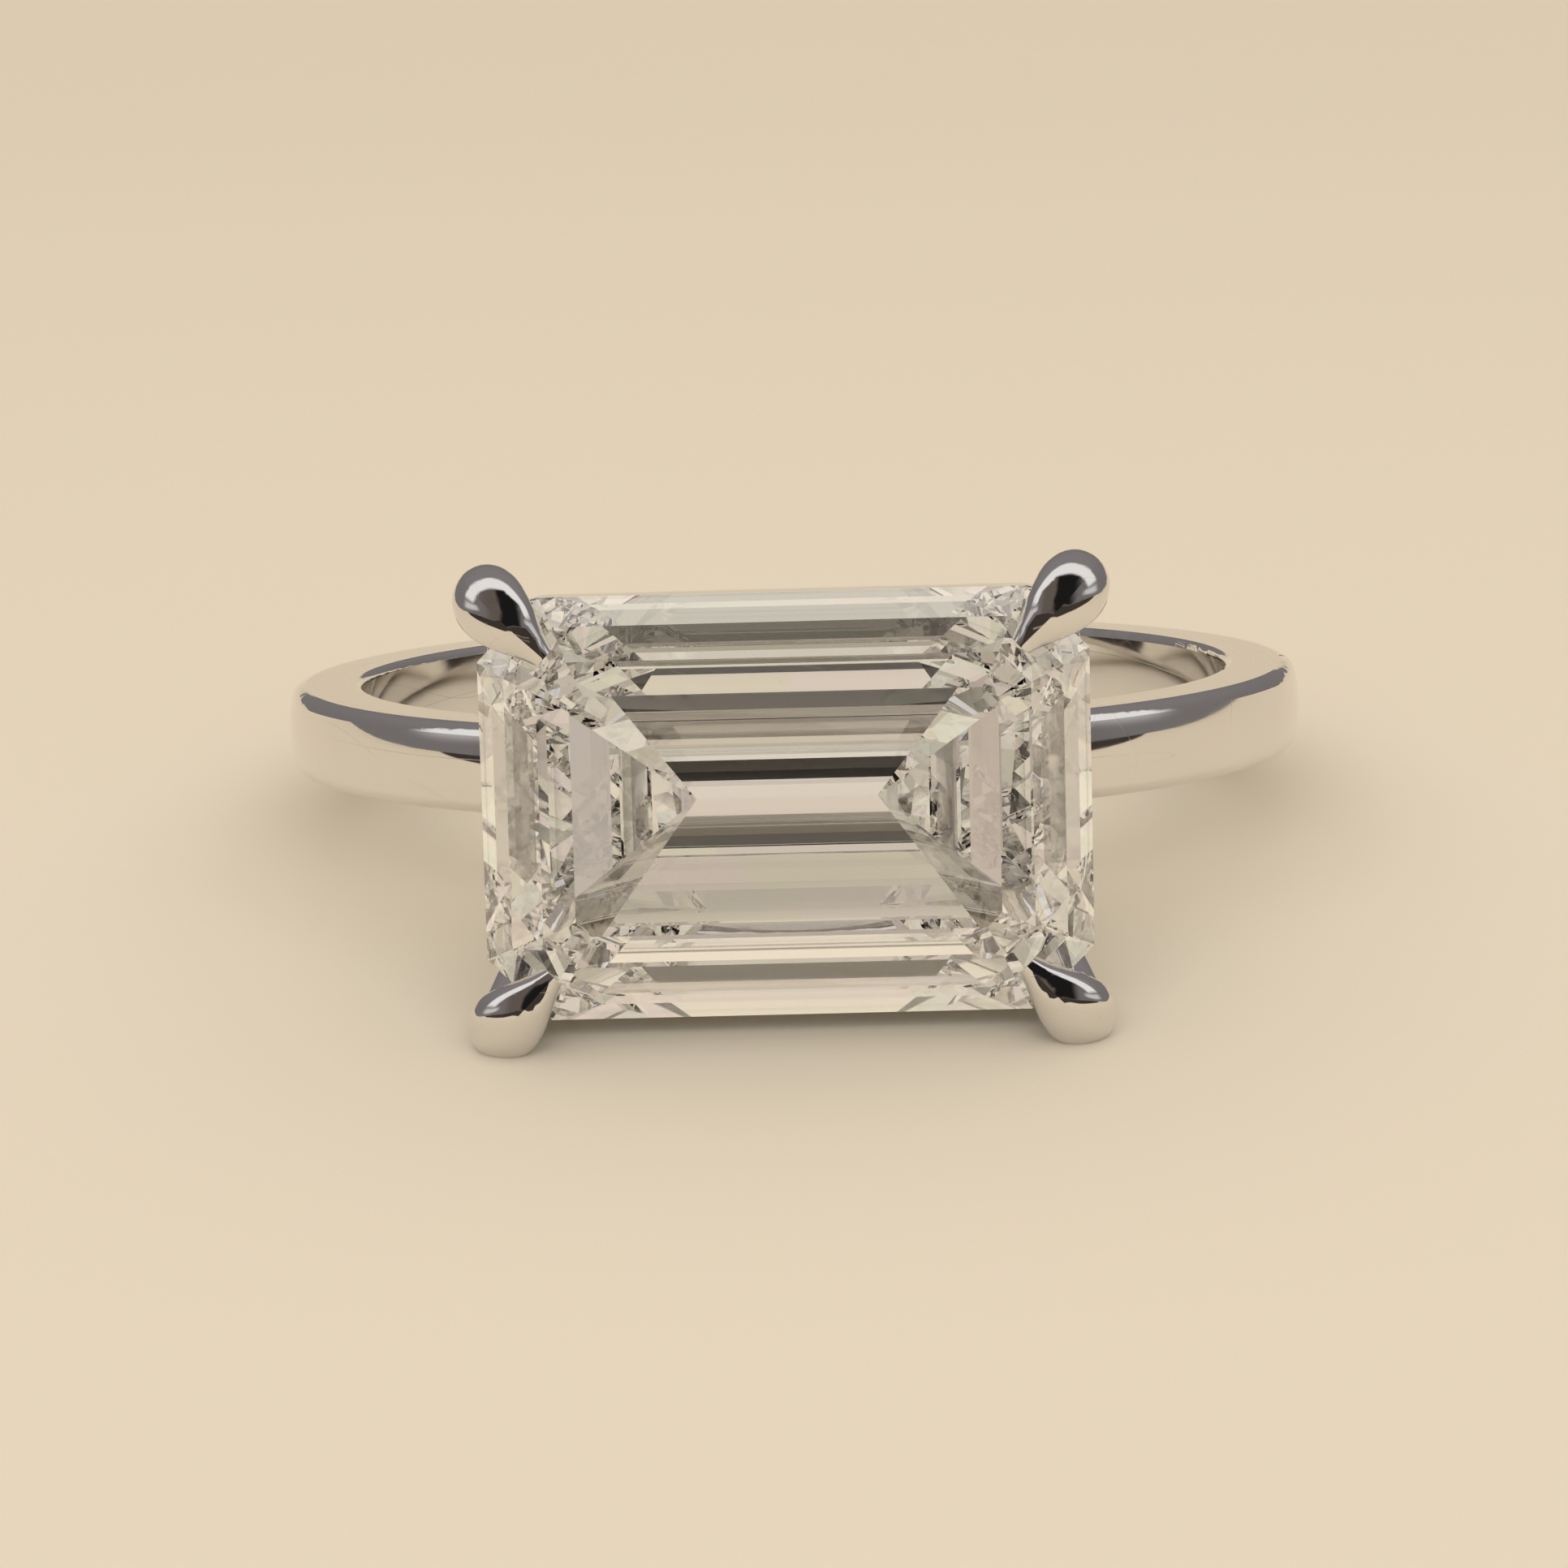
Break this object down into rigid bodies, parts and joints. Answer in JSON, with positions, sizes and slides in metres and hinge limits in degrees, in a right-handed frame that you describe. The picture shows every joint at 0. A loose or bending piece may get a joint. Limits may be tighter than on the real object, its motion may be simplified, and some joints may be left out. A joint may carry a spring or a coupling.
{
  "type": "engagement ring",
  "caption": "Solitaire ring: plain low-domed white metal band with a claw basket head holding a step-cut rectangular stone set lengthwise across the finger.",
  "frame": {"origin": "centre of the finger bore", "axes": "+Z along the finger bore's axis; the stone's table faces -Y and its long side runs along X"},
  "size_m": [0.0193, 0.024, 0.0082],
  "materials": {
    "white_gold": "mirror-polished, rhodium-plated white gold with hairline wear",
    "clear_stone": "polished near-colourless step-cut diamond"
  },
  "bodies": {
    "root": {"band": "white_gold", "gallery_rail": "white_gold", "base_rail": "white_gold", "claw_upper_left": "white_gold", "claw_upper_right": "white_gold", "claw_lower_left": "white_gold", "claw_lower_right": "white_gold", "centre_stone": "clear_stone"}
  },
  "joints": []
}
